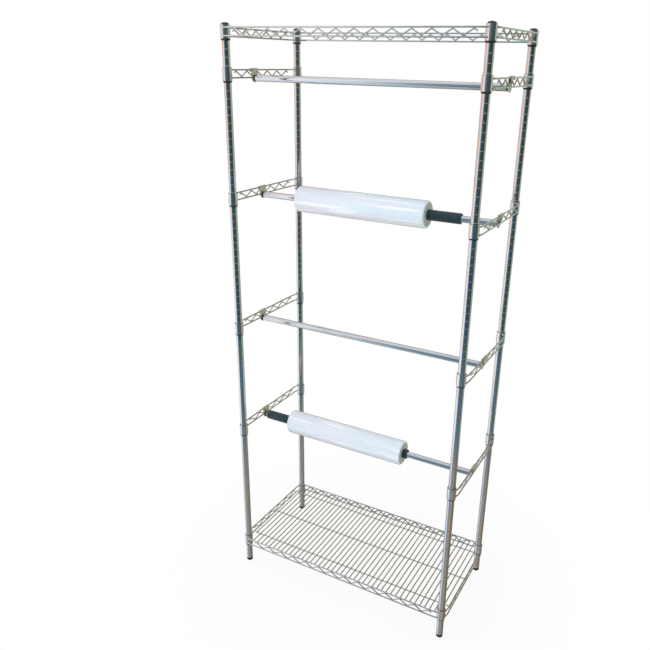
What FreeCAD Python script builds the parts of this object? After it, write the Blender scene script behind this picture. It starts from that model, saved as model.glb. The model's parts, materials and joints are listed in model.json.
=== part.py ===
"""Chrome wire roll rack: four posts, a wire shelf, an open top frame and four rods hung from side rails."""
import FreeCAD, Part
import os

import Sketcher

# Driving dimensions in millimetres, with counts where the name says so
DIMENSIONS = [
    ("post_spacing_x", 880.0),
    ("post_spacing_y", 422.0),
    ("post_radius", 12.7),
    ("post_wall", 1.5),
    ("post_foot_gap", 0.3),
    ("post_below_collar", 1.0),
    ("groove_pitch", 25.4),
    ("bottom_level", 108.0),
    ("pitches_to_rail_4", 21),
    ("pitches_to_rail_3", 17),
    ("pitches_to_rail_2", 19),
    ("pitches_to_rail_1", 16),
    ("pitches_to_top", 5),
    ("bore_sides", 12),
    ("cap_height", 7.5),
    ("cap_bevel", 4.5),
    ("cap_stem_radius", 11.0),
    ("cap_stem_length", 14.0),
    ("foot_height", 12.0),
    ("foot_sides", 16),
    ("foot_radius", 12.5),
    ("foot_bevel", 2.0),
    ("stud_sides", 8),
    ("foot_stud_radius", 4.0),
    ("foot_stud_length", 34.0),
    ("insert_radius", 11.1),
    ("insert_height", 40.0),
    ("insert_bore_radius", 4.7),
    ("collar_sides", 16),
    ("collar_radius", 16.0),
    ("collar_height", 42.0),
    ("bore_low_radius", 14.9),
    ("bore_high_radius", 14.35),
    ("sleeve_sides", 10),
    ("sleeve_height", 47.0),
    ("sleeve_drop", 25.5),
    ("sleeve_low_radius", 14.75),
    ("sleeve_high_radius", 14.2),
    ("sleeve_bore_radius", 13.42),
    ("sleeve_slit", 1.0),
    ("wire_sides", 6),
    ("frame_wire_radius", 2.6),
    ("frame_wire_rise", 12.5),
    ("zigzag_sides", 4),
    ("zigzag_radius", 2.2),
    ("zigzag_reach", 7.4),
    ("zigzag_step", 30.15),
    ("zigzag_tail", 0.34),
    ("long_zigzag_shift", 6.0),
    ("long_zigzag_runs", 26),
    ("side_zigzag_shift", 11.0),
    ("side_zigzag_runs", 10),
    ("deck_wire_radius", 2.2),
    ("deck_wire_count", 42),
    ("deck_wire_pitch", 20.1),
    ("deck_wire_shift", 6.0),
    ("deck_wire_drop", 2.0),
    ("deck_wire_gap", 2.3),
    ("short_wire_overrun", 4.0),
    ("support_wire_radius", 2.2),
    ("support_wire_offset", 170.0),
    ("bracket_width", 38.0),
    ("bracket_sheet", 2.5),
    ("hook_radius", 2.9),
    ("hook_lip", 6.5),
    ("rod_drop", 14.0),
    ("tongue_reach", 14.0),
    ("rod_offset_1", -40.0),
    ("rod_offset_2", -12.0),
    ("rod_offset_3", -38.0),
    ("rod_offset_4", -38.0),
    ("stub_flange_radius", 10.6),
    ("stub_flange_length", 6.0),
    ("stub_radius", 8.9),
    ("stub_length", 20.0),
    ("rod_radius", 11.1),
    ("rod_wall", 1.5),
    ("rod_end_gap", 0.3),
    ("core_radius", 17.8),
    ("core_bore_radius", 11.9),
    ("core_length", 636.0),
    ("core_short_end", 17.0),
    ("film_radius", 47.0),
    ("film_length", 502.0),
    ("film_bevel", 6.0),
    ("film_centre_2", -39.0),
    ("film_centre_4", -71.0),
]

# Heights of the collar centres on the posts' one-inch grooves, then the planes that the wires lie in
DERIVED = [
    ("level_bottom", "bottom_level"),
    ("level_rail_4", "level_bottom + pitches_to_rail_4 * groove_pitch"),
    ("level_rail_3", "level_rail_4 + pitches_to_rail_3 * groove_pitch"),
    ("level_rail_2", "level_rail_3 + pitches_to_rail_2 * groove_pitch"),
    ("level_rail_1", "level_rail_2 + pitches_to_rail_1 * groove_pitch"),
    ("level_top", "level_rail_1 + pitches_to_top * groove_pitch"),
    ("post_foot", "foot_height + post_foot_gap"),
    ("post_head", "level_top + collar_height / 2 - post_below_collar"),
    ("frame_wire_flat", "frame_wire_radius * cos(180 / wire_sides)"),
    ("side_plane", "post_spacing_x / 2 + collar_radius + frame_wire_flat"),
    ("long_plane", "post_spacing_y / 2 + collar_radius + frame_wire_flat"),
    ("deck_rise", "frame_wire_rise - deck_wire_drop"),
    ("support_rise", "deck_rise - deck_wire_radius - support_wire_radius"),
    ("support_length", "2 * ( side_plane - deck_wire_gap )"),
    ("deck_length", "2 * ( long_plane - deck_wire_gap )"),
    ("short_wire_length", "2 * ( support_wire_offset + short_wire_overrun )"),
    ("octagon_ratio", "sqrt(2) - 1"),
    ("hook_bend", "hook_radius * octagon_ratio"),
    ("hook_outer", "hook_radius + bracket_sheet"),
    ("outer_bend", "hook_outer * octagon_ratio"),
    ("bracket_half", "bracket_width / 2"),
    ("bracket_end", "bracket_half * octagon_ratio"),
    ("plate_drop", "frame_wire_rise + rod_drop + tongue_reach - bracket_half"),
    ("plate_face", "side_plane - hook_outer"),
    ("rod_end", "plate_face - stub_flange_length - rod_end_gap"),
]
LEVELS = ["bottom", "rail_4", "rail_3", "rail_2", "rail_1", "top"]
FRAMES = {"bottom": "bottom_shelf", "top": "top_frame"}
RAILS = [1, 2, 3, 4]
CORNERS = {"front_left": (-1, -1), "front_right": (1, -1), "rear_left": (-1, 1), "rear_right": (1, 1)}
SIDES = {"left": -1, "right": 1}
ENDS = {"front": -1, "rear": 1}

# A prism's own axis is turned along X or along Y, with two of its edges straight above and below
ALONG_X = FreeCAD.Rotation(FreeCAD.Vector(0, 1, 0), 90)
ALONG_Y = FreeCAD.Rotation(FreeCAD.Vector(1, 0, 0), -90) * FreeCAD.Rotation(FreeCAD.Vector(0, 0, 1), 90)

# A truss drawing's own X runs along the truss and its own Y upwards
LONG_DRAWING = FreeCAD.Rotation(FreeCAD.Vector(1, 0, 0), 90)
SIDE_DRAWING = FreeCAD.Rotation(
    FreeCAD.Vector(0, 1, 0), FreeCAD.Vector(0, 0, 1), FreeCAD.Vector(1, 0, 0), "XYZ"
)
HALF_TURN = FreeCAD.Rotation(FreeCAD.Vector(0, 0, 1), 180)

doc = FreeCAD.newDocument("RollRack")
sheet = doc.addObject("Spreadsheet::Sheet", "Dimensions")
nodes = {}


def fill_sheet():
    """Write the driving dimensions and the cells worked out from them."""
    cells = [(alias, str(value)) for alias, value in DIMENSIONS]
    cells += [(alias, "=" + formula) for alias, formula in DERIVED]
    for row, (alias, text) in enumerate(cells, start=1):
        sheet.set(f"A{row}", alias)
        sheet.set(f"B{row}", text)
        sheet.setAlias(f"B{row}", alias)
    doc.recompute()


def size(formula):
    """The number that a cell or a formula of cells gives."""
    return float(sheet.evalExpression(formula))


def linked(formula):
    """A sheet formula as another object reads it, with words and signs parted by spaces."""
    return " ".join("Dimensions." + word if word[0].isalpha() else word for word in formula.split())


def bind(obj, rotation=None, **formulas):
    """Bind properties to sheet formulas; x, y and z place the object's origin."""
    if rotation is not None:
        obj.Placement = FreeCAD.Placement(FreeCAD.Vector(), rotation)
    for name, formula in formulas.items():
        target = f"Placement.Base.{name}" if name in ("x", "y", "z") else name
        obj.setExpression(target, linked(formula))
    return obj


def add(kind, name, rotation=None, **formulas):
    """Add a Part object with its sizes and place bound to the sheet."""
    return bind(doc.addObject(kind, name), rotation, **formulas)


def cut(name, base, tool):
    """Subtract one object from another."""
    obj = doc.addObject("Part::Cut", name)
    obj.Base = base
    obj.Tool = tool
    return obj


def fuse(name, members):
    """Join objects to one solid."""
    obj = doc.addObject("Part::MultiFuse", name)
    obj.Shapes = members
    return obj


def group(name, members):
    """Keep separate solids together under one name."""
    obj = doc.addObject("Part::Compound", name)
    obj.Links = members
    return obj


def mirrored(name, source, normal):
    """Mirror an object in one of the rack's middle planes."""
    obj = doc.addObject("Part::Mirroring", name)
    obj.Source = source
    obj.Normal = normal
    return obj


def node(label, obj):
    """Name a finished sub-part."""
    obj.Label = label
    nodes[label] = obj


def signed(sign, formula):
    """A formula on the positive or the negative side of the middle."""
    return formula if sign > 0 else f"0 - ( {formula} )"


def at_four_corners(name, source):
    """Repeat a front left piece at all four posts."""
    front_right = mirrored(name + "_front_right", source, FreeCAD.Vector(1, 0, 0))
    rear_left = mirrored(name + "_rear_left", source, FreeCAD.Vector(0, 1, 0))
    rear_right = mirrored(name + "_rear_right", front_right, FreeCAD.Vector(0, 1, 0))
    return group(name, [source, front_right, rear_left, rear_right])


def corner(sx, sy):
    """Formulas of one post's axis."""
    return {"x": signed(sx, "post_spacing_x / 2"), "y": signed(sy, "post_spacing_y / 2")}


def hold_point(sketch, edge, vertex, x, y):
    """Tie a sketch point to sheet formulas for its distances from the sketch's origin."""
    for kind, formula in (("DistanceX", x), ("DistanceY", y)):
        index = sketch.addConstraint(Sketcher.Constraint(kind, -1, 1, edge, vertex, size(formula)))
        sketch.setExpression(f"Constraints[{index}]", linked(formula))


def outline(body, name, role, points):
    """Draw a closed outline of straight lines on one of a body's own planes."""
    sketch = body.newObject("Sketcher::SketchObject", name)
    sketch.AttachmentSupport = [(next(p for p in body.Origin.OriginFeatures if p.Role == role), "")]
    sketch.MapMode = "FlatFace"
    places = [FreeCAD.Vector(size(x), size(y), 0) for x, y in points]
    for edge, start in enumerate(places):
        sketch.addGeometry(Part.LineSegment(start, places[(edge + 1) % len(places)]))
    for edge, (x, y) in enumerate(points):
        sketch.addConstraint(Sketcher.Constraint("Coincident", edge, 2, (edge + 1) % len(points), 1))
        hold_point(sketch, edge, 1, x, y)
    return sketch


def tapered(name, sides, low, high, **where):
    """A faceted taper between two level polygons, each with its radius and its height."""
    loft = doc.addObject("Part::Loft", name)
    loft.Sections = [
        add("Part::RegularPolygon", f"{name}_{place}", Polygon=sides, Circumradius=radius, z=height, **where)
        for place, (radius, height) in (("low", low), ("high", high))
    ]
    loft.Solid = True
    loft.Ruled = True
    return loft


def prism(name, sides, radius, height, **where):
    """An upright many-sided bar."""
    return add("Part::Prism", name, Polygon=sides, Circumradius=radius, Height=height, **where)


def bevelled(name, sides, radius, height, bevel, end, **where):
    """An upright many-sided bar whose upper or lower end, by the sign, has its edges bevelled."""
    body = doc.addObject("PartDesign::Body", name)
    bar = bind(body.newObject("PartDesign::AdditivePrism", f"{name}_bar"),
               Polygon=sides, Circumradius=radius, Height=height)
    doc.recompute()
    faces = bar.Shape.Faces
    outermost = max(range(len(faces)), key=lambda i: end * faces[i].CenterOfMass.z)
    edges = body.newObject("PartDesign::Chamfer", f"{name}_edges")
    edges.Base = (bar, [f"Face{outermost + 1}"])
    bind(edges, Size=bevel)
    return bind(body, **where)


def make_posts():
    """Four round tubes that stand on their feet and end just inside the top frame's collars."""
    for name, (sx, sy) in CORNERS.items():
        where = {"z": "post_foot", **corner(sx, sy)}
        height = "post_head - post_foot"
        outer = add("Part::Cylinder", f"tube_{name}", Radius="post_radius", Height=height, **where)
        inner = prism(f"hollow_{name}", "bore_sides", "post_radius - post_wall", height, **where)
        node(f"post_{name}", cut(f"post_{name}", outer, inner))


def make_post_caps():
    """Bevelled plugs in the tops of the posts."""
    where = corner(-1, -1)
    head = bevelled("cap_head", "bore_sides", "post_radius", "cap_height", "cap_bevel", 1,
                    z="post_head", **where)
    stem = prism("cap_stem", "bore_sides", "cap_stem_radius", "cap_stem_length",
                 z="post_head - cap_stem_length", **where)
    node("post_caps", at_four_corners("caps", fuse("cap", [head, stem])))


def make_feet():
    """Levelling feet with their studs, and the inserts in the posts that the studs screw into."""
    for name, (sx, sy) in CORNERS.items():
        where = corner(sx, sy)
        pad = bevelled(f"foot_pad_{name}", "foot_sides", "foot_radius", "foot_height", "foot_bevel", -1,
                       **where)
        stud = prism(f"foot_stud_{name}", "stud_sides", "foot_stud_radius", "foot_stud_length",
                     z="foot_height", **where)
        node(f"foot_{name}", fuse(f"foot_{name}", [pad, stud]))
    where = {"z": "post_foot", **corner(-1, -1)}
    block = prism("insert_block", "bore_sides", "insert_radius", "insert_height", **where)
    bore = prism("insert_bore", "stud_sides", "insert_bore_radius", "insert_height", **where)
    node("foot_inserts", at_four_corners("inserts", cut("insert", block, bore)))


def make_sleeves(level):
    """Tapered two-piece sleeves that clip on the posts' grooves and wedge in the collars."""
    base = f"level_{level} - sleeve_drop"
    wedge = tapered(f"sleeve_wedge_{level}", "sleeve_sides", ("sleeve_low_radius", base),
                    ("sleeve_high_radius", base + " + sleeve_height"), **corner(-1, -1))
    bore = prism(f"sleeve_bore_{level}", "sleeve_sides", "sleeve_bore_radius", "sleeve_height", z=base,
                 **corner(-1, -1))
    slit = add("Part::Box", f"sleeve_slit_{level}", Length="4 * sleeve_low_radius", Width="sleeve_slit",
               Height="sleeve_height", x="0 - post_spacing_x / 2 - 2 * sleeve_low_radius",
               y="0 - post_spacing_y / 2 - sleeve_slit / 2", z=base)
    ring = cut(f"sleeve_ring_{level}", wedge, bore)
    node(f"sleeves_{level}", at_four_corners(f"sleeves_{level}", cut(f"sleeve_halves_{level}", ring, slit)))


def make_collar(name, level, sx, sy):
    """A collar with the tapered bore that the sleeve wedges in."""
    base = f"level_{level} - collar_height / 2"
    shell = prism(f"shell_{name}", "collar_sides", "collar_radius", "collar_height", z=base, **corner(sx, sy))
    bore = tapered(f"bore_{name}", "sleeve_sides", ("bore_low_radius", base),
                   ("bore_high_radius", base + " + collar_height"), **corner(sx, sy))
    return cut(name, shell, bore)


def make_wire(name, radius, length, rotation, **where):
    """A straight wire that starts at the given place."""
    return add("Part::Prism", name, rotation, Polygon="wire_sides", Circumradius=radius, Height=length, **where)


def make_zigzag(name, runs, start, drawing, level, **where):
    """The bent wire of a truss, mitred at each turn, with a short free tail past each outermost bend."""
    step, reach, tail = size("zigzag_step"), size("zigzag_reach"), size("zigzag_tail")
    count = int(size(runs)) + 2
    turns = [FreeCAD.Vector(step * i, -reach if i % 2 else reach, 0) for i in range(count - 1)]
    turns.insert(0, turns[0] - FreeCAD.Vector(tail * step, 2 * tail * reach, 0))
    turns.append(turns[-1] + FreeCAD.Vector(tail * step, -2 * tail * reach, 0))
    path = bind(doc.addObject("Sketcher::SketchObject", f"path_{name}"), drawing, z=f"level_{level}", **where)
    offset = FreeCAD.Vector(size(start), 0, 0)
    for first, last in zip(turns, turns[1:]):
        path.addGeometry(Part.LineSegment(first + offset, last + offset))
    for run in range(count - 1):
        path.addConstraint(Sketcher.Constraint("Coincident", run, 2, run + 1, 1))
    ahead = (turns[1] - turns[0]).normalize()
    upright = FreeCAD.Vector(-ahead.y, ahead.x, 0)
    square_on = drawing * FreeCAD.Rotation(upright, ahead.cross(upright), ahead, "ZXY")
    begin = f"{start} - zigzag_tail * zigzag_step"
    along = {"x": begin} if "y" in where else {"y": begin}
    section = add("Part::RegularPolygon", f"section_{name}", square_on, Polygon="zigzag_sides",
                  Circumradius="zigzag_radius", z=f"level_{level} + ( 1 - 2 * zigzag_tail ) * zigzag_reach",
                  **along, **where)
    sweep = doc.addObject("Part::Sweep", name)
    sweep.Sections = [section]
    sweep.Spine = (path, [f"Edge{run + 1}" for run in range(count)])
    sweep.Solid = True
    sweep.Transition = "Right corner"
    return sweep


def make_long_truss(name, level, sy):
    """A front or rear truss: two wires with a zigzag between them, the rear one turned half round."""
    plane = {"y": signed(sy, "long_plane")}
    members = [
        make_wire(f"{name}_{place}", "frame_wire_radius", "post_spacing_x", ALONG_X, x="0 - post_spacing_x / 2",
                  z=f"level_{level} {mark} frame_wire_rise", **plane)
        for place, mark in (("upper", "+"), ("lower", "-"))
    ]
    start = signed(-sy, "long_zigzag_shift") + " - long_zigzag_runs * zigzag_step / 2"
    members.append(make_zigzag(f"{name}_zigzag", "long_zigzag_runs", start, LONG_DRAWING, level, **plane))
    return members


def make_side_truss(name, level, sx):
    """The left or right truss of a frame or a rail, the right one turned half round."""
    plane = {"x": signed(sx, "side_plane")}
    members = [
        make_wire(f"{name}_{place}", "frame_wire_radius", "post_spacing_y", ALONG_Y, y="0 - post_spacing_y / 2",
                  z=f"level_{level} {mark} frame_wire_rise", **plane)
        for place, mark in (("upper", "+"), ("lower", "-"))
    ]
    start = signed(-sx, "side_zigzag_shift") + " - side_zigzag_runs * zigzag_step / 2"
    members.append(make_zigzag(f"{name}_zigzag", "side_zigzag_runs", start, SIDE_DRAWING, level, **plane))
    return members


def make_deck(shelf):
    """The shelf's front-to-back wires; the outermost two stop at the support wires, clear of the collars."""
    count = int(size("deck_wire_count"))
    rise = f"level_{shelf} + deck_rise"
    wires = []
    for i in range(count):
        wires.append(make_wire(f"{shelf}_deck_{i}", "deck_wire_radius", "deck_length", ALONG_Y, z=rise,
                               x=f"deck_wire_shift + ( {i} - ( deck_wire_count - 1 ) / 2 ) * deck_wire_pitch",
                               y="0 - deck_length / 2"))
    for name, sx in SIDES.items():
        wires.append(make_wire(f"{shelf}_deck_{name}", "deck_wire_radius", "short_wire_length", ALONG_Y, z=rise,
                               x=f"deck_wire_shift + {sx} * ( deck_wire_count + 1 ) / 2 * deck_wire_pitch",
                               y="0 - short_wire_length / 2"))
    return group(f"{shelf}_deck", wires)


def make_supports(shelf):
    """The long wires under the deck: one in the middle and one towards each edge."""
    wires = [
        make_wire(f"{shelf}_support_{i}", "support_wire_radius", "support_length", ALONG_X,
                  x="0 - support_length / 2", y=f"{i} * support_wire_offset", z=f"level_{shelf} + support_rise")
        for i in (-1, 0, 1)
    ]
    return group(f"{shelf}_supports", wires)


def make_frame(level, title):
    """The collars and the four trusses of the bottom shelf or of the open top frame."""
    collar = make_collar(f"{level}_collar", level, -1, -1)
    node(f"{title}_collars", at_four_corners(f"{level}_collars", collar))
    for name, sy in ENDS.items():
        truss = f"{level}_{name}_truss"
        node(f"{title}_{name}_truss", group(truss, make_long_truss(truss, level, sy)))
    for name, sx in SIDES.items():
        truss = f"{level}_{name}_truss"
        node(f"{title}_{name}_truss", group(truss, make_side_truss(truss, level, sx)))


def make_rail(number, side, sx):
    """One side rail: a truss with a collar at each end."""
    name = f"rail_{number}_{side}"
    level = f"rail_{number}"
    members = make_side_truss(name, level, sx)
    members += [make_collar(f"{name}_{end}_collar", level, sx, sy) for end, sy in ENDS.items()]
    node(name, group(name, members))


def make_bracket(number, side, sx):
    """A strap bent over the rail's upper wire, with a short lip outside and a rounded lower end inside."""
    name = f"bracket_{number}_{side}"
    body = doc.addObject("PartDesign::Body", name)
    profile = outline(body, f"{name}_hook", "XZ_Plane", [
        ("0 - hook_outer", "0 - plate_drop"), ("0 - hook_radius", "0 - plate_drop"),
        ("0 - hook_radius", "hook_bend"), ("0 - hook_bend", "hook_radius"),
        ("hook_bend", "hook_radius"), ("hook_radius", "hook_bend"),
        ("hook_radius", "0 - hook_lip"), ("hook_outer", "0 - hook_lip"),
        ("hook_outer", "outer_bend"), ("outer_bend", "hook_outer"),
        ("0 - outer_bend", "hook_outer"), ("0 - hook_outer", "outer_bend"),
    ])
    strap = body.newObject("PartDesign::Pad", f"{name}_strap")
    strap.Profile = profile
    strap.SideType = "Symmetric"
    strap.setExpression("Length", linked("bracket_width"))
    tongue = outline(body, f"{name}_tongue", "YZ_Plane", [
        ("0 - bracket_half", "0 - plate_drop"), ("0 - bracket_half", "0 - plate_drop - bracket_end"),
        ("0 - bracket_end", "0 - plate_drop - bracket_half"), ("bracket_end", "0 - plate_drop - bracket_half"),
        ("bracket_half", "0 - plate_drop - bracket_end"), ("bracket_half", "0 - plate_drop"),
    ])
    tongue.setExpression("AttachmentOffset.Base.z", linked("0 - hook_outer"))
    end = body.newObject("PartDesign::Pad", f"{name}_end")
    end.Profile = tongue
    end.setExpression("Length", linked("bracket_sheet"))
    turn = FreeCAD.Rotation() if sx > 0 else HALF_TURN
    bind(body, turn, x=signed(sx, "side_plane"), y=f"rod_offset_{number}",
         z=f"level_rail_{number} + frame_wire_rise")
    node(name, body)


def round_bar(name, radius, length, **where):
    """A round bar along X that starts at the given place."""
    return add("Part::Cylinder", name, ALONG_X, Radius=radius, Height=length, **where)


def wound_bar(name, radius, length, bevel, **where):
    """A round bar along X whose two ends are bevelled, as the soft edges of a winding are."""
    body = doc.addObject("PartDesign::Body", name)
    bar = bind(body.newObject("PartDesign::AdditiveCylinder", f"{name}_bar"), Radius=radius, Height=length)
    doc.recompute()
    ends = [i for i, face in enumerate(bar.Shape.Faces, start=1) if isinstance(face.Surface, Part.Plane)]
    edges = body.newObject("PartDesign::Chamfer", f"{name}_edges")
    edges.Base = (bar, [f"Face{i}" for i in ends])
    bind(edges, Size=bevel)
    return bind(body, ALONG_X, **where)


def faceted_bar(name, radius, length, **where):
    """A many-sided bar along X that starts at the given place."""
    return add("Part::Prism", name, ALONG_X, Polygon="bore_sides", Circumradius=radius, Height=length, **where)


def rod_line(number):
    """Formulas of the line that a rod turns about."""
    return {"y": f"rod_offset_{number}", "z": f"level_rail_{number} - rod_drop"}


def make_stubs(number):
    """The black stubs on the two brackets that the rod's open ends turn on."""
    flange = faceted_bar(f"stub_flange_{number}", "stub_flange_radius", "stub_flange_length",
                         x="plate_face - stub_flange_length", **rod_line(number))
    spigot = faceted_bar(f"stub_spigot_{number}", "stub_radius", "stub_length",
                         x="plate_face - stub_flange_length - stub_length", **rod_line(number))
    right = fuse(f"stub_right_{number}", [flange, spigot])
    left = mirrored(f"stub_left_{number}", right, FreeCAD.Vector(1, 0, 0))
    node(f"rod_stubs_{number}", group(f"stubs_{number}", [left, right]))


def make_rod(number):
    """The chrome tube that carries the rolls."""
    where = {"x": "0 - rod_end", **rod_line(number)}
    skin = round_bar(f"rod_skin_{number}", "rod_radius", "2 * rod_end", **where)
    hollow = faceted_bar(f"rod_hollow_{number}", "rod_radius - rod_wall", "2 * rod_end", **where)
    node(f"rod_{number}", cut(f"rod_{number}", skin, hollow))


def make_roll(number, core_start):
    """A film roll and the black core that it is wound on."""
    where = {"x": core_start, **rod_line(number)}
    skin = round_bar(f"core_skin_{number}", "core_radius", "core_length", **where)
    hollow = faceted_bar(f"core_hollow_{number}", "core_bore_radius", "core_length", **where)
    node(f"roll_core_{number}", cut(f"core_{number}", skin, hollow))
    where = {"x": f"film_centre_{number} - film_length / 2", **rod_line(number)}
    winding = wound_bar(f"film_winding_{number}", "film_radius", "film_length", "film_bevel", **where)
    inside = round_bar(f"film_inside_{number}", "core_radius", "film_length", **where)
    node(f"film_roll_{number}", cut(f"film_{number}", winding, inside))


def check_document():
    """Stop on any object that failed and on any sub-part without a sound shape."""
    failed = [obj.Name for obj in doc.Objects if {"Invalid", "Error"} & set(obj.State)]
    unsound = [name for name, obj in nodes.items() if obj.Shape.isNull() or not obj.Shape.isValid()]
    empty = [name for name, obj in nodes.items() if not obj.Shape.Solids]
    if failed or unsound or empty:
        raise RuntimeError(f"failed {failed}, unsound {unsound}, without solids {empty}")


fill_sheet()
make_posts()
make_post_caps()
make_feet()
for level_name in LEVELS:
    make_sleeves(level_name)
for level_name, frame_title in FRAMES.items():
    make_frame(level_name, frame_title)
node("bottom_shelf_deck_wires", make_deck("bottom"))
node("bottom_shelf_support_wires", make_supports("bottom"))
for rail_number in RAILS:
    for side_name, side_sign in SIDES.items():
        make_rail(rail_number, side_name, side_sign)
        make_bracket(rail_number, side_name, side_sign)
    make_stubs(rail_number)
    make_rod(rail_number)
make_roll(2, "film_centre_2 - film_length / 2 - core_short_end")
make_roll(4, "film_centre_4 + film_length / 2 + core_short_end - core_length")
doc.recompute()
check_document()
os.makedirs("parts", exist_ok=True)
for label, sub_part in nodes.items():
    sub_part.Shape.exportStep(f"parts/{label}.step")
print(len(nodes), "sub-parts,", sum(len(obj.Shape.Solids) for obj in nodes.values()), "solids")
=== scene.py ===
"""Looks of the chrome wire roll rack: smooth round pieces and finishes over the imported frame."""
import json
import logging
import math
from dataclasses import dataclass, field
from enum import Enum
from typing import Any, Iterable, Sequence, Union

import bmesh
import bpy
from mathutils import Matrix, Vector, noise


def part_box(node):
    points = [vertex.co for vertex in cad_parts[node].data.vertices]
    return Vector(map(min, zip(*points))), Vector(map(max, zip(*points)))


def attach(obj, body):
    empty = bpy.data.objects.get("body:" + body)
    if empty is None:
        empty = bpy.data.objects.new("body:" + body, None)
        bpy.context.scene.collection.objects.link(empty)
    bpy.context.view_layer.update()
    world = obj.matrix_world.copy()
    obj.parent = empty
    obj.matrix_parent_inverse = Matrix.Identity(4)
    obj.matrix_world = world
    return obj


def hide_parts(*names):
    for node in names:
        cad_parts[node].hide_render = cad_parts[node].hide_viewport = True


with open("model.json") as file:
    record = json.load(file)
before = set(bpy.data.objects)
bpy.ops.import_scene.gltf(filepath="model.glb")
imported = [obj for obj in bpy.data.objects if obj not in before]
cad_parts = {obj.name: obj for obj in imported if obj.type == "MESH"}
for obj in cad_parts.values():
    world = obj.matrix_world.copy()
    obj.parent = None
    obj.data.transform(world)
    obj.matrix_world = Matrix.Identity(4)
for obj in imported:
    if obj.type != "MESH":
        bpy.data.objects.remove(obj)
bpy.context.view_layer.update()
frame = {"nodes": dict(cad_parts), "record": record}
LOG = logging.getLogger("roll_rack")
BODY_OF = {node: body for body, nodes in frame["record"]["behaviour"]["bodies"].items() for node in nodes}
SLOT_OF = {part["node"]: part["material_slot"] for part in frame["record"]["subparts"]}
RAIL_LEVELS = (1, 2, 3, 4)
ROLL_LEVELS = (2, 4)
SHARP_EDGE = math.radians(32)
WELD_REACH = 2e-7
TIP_RADIUS = 1e-5
QUARTER = math.pi / 2
OPEN_ENDS = (False, False)
MIX_INPUTS = (0, 6, 7)
MIX_RESULT = 2

Triple = tuple[float, float, float]
Colour = Triple
Band = tuple[float, float]
Fade = tuple[Band | None, Band | None]
Operand = Union["Value", float]
Profile = Sequence[tuple[float, float]]
Stops = Sequence[tuple[float, Colour]]


class Axis(Enum):
    """A direction of the rack's frame."""

    X = (1.0, 0.0, 0.0)
    Y = (0.0, 1.0, 0.0)
    Z = (0.0, 0.0, 1.0)

    @property
    def along(self) -> Vector:
        """The unit vector along this direction."""
        return Vector(self.value)

    @property
    def across(self) -> tuple[Vector, Vector]:
        """Two unit vectors square to this direction."""
        first, second = {Axis.X: (Axis.Y, Axis.Z), Axis.Y: (Axis.Z, Axis.X), Axis.Z: (Axis.X, Axis.Y)}[self]
        return first.along, second.along


class Named(Enum):
    """Options that the frame's names are made of."""

    @property
    def label(self) -> str:
        """The option's name in the frame."""
        return self.name.lower()


class Level(Named):
    """The six heights at which collars clamp the posts."""

    BOTTOM = 0
    RAIL_4 = 1
    RAIL_3 = 2
    RAIL_2 = 3
    RAIL_1 = 4
    TOP = 5


class Corner(Named):
    """The four posts, by the signs of their X and Y."""

    FRONT_LEFT = (-1, -1)
    FRONT_RIGHT = (1, -1)
    REAR_LEFT = (-1, 1)
    REAR_RIGHT = (1, 1)


class Side(Named):
    """The four sides of a frame: the axis of the side's truss and the sign of its place."""

    FRONT = (Axis.X, -1)
    REAR = (Axis.X, 1)
    LEFT = (Axis.Y, -1)
    RIGHT = (Axis.Y, 1)

    @property
    def axis(self) -> Axis:
        """The direction in which the side runs."""
        return self.value[0]

    @property
    def sign(self) -> int:
        """Which end of the other axis the side is at."""
        return self.value[1]

    @property
    def inward(self) -> Vector:
        """The unit vector from the side to the rack's middle."""
        other = Axis.Y if self.axis is Axis.X else Axis.X
        return other.along * -self.sign


class Value:
    """A shader socket that takes part in Python arithmetic."""

    def __init__(self, sheet: "ShaderSheet", socket: bpy.types.NodeSocket) -> None:
        """Keep the socket and the sheet that it belongs to."""
        self.sheet = sheet
        self.socket = socket

    def _math(self, operation: str, first: Operand, second: Operand) -> "Value":
        """Add a Math node."""
        return self.sheet.node("ShaderNodeMath", {"operation": operation}, {0: first, 1: second})

    def __add__(self, other: Operand) -> "Value":
        """This plus other."""
        return self._math("ADD", self, other)

    def __radd__(self, other: float) -> "Value":
        """Other plus this."""
        return self._math("ADD", other, self)

    def __sub__(self, other: Operand) -> "Value":
        """This minus other."""
        return self._math("SUBTRACT", self, other)

    def __rsub__(self, other: float) -> "Value":
        """Other minus this."""
        return self._math("SUBTRACT", other, self)

    def __mul__(self, other: Operand) -> "Value":
        """This times other."""
        return self._math("MULTIPLY", self, other)

    def __rmul__(self, other: float) -> "Value":
        """Other times this."""
        return self._math("MULTIPLY", other, self)

    def __truediv__(self, other: Operand) -> "Value":
        """This divided by other."""
        return self._math("DIVIDE", self, other)

    def __rtruediv__(self, other: float) -> "Value":
        """Other divided by this."""
        return self._math("DIVIDE", other, self)


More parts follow.
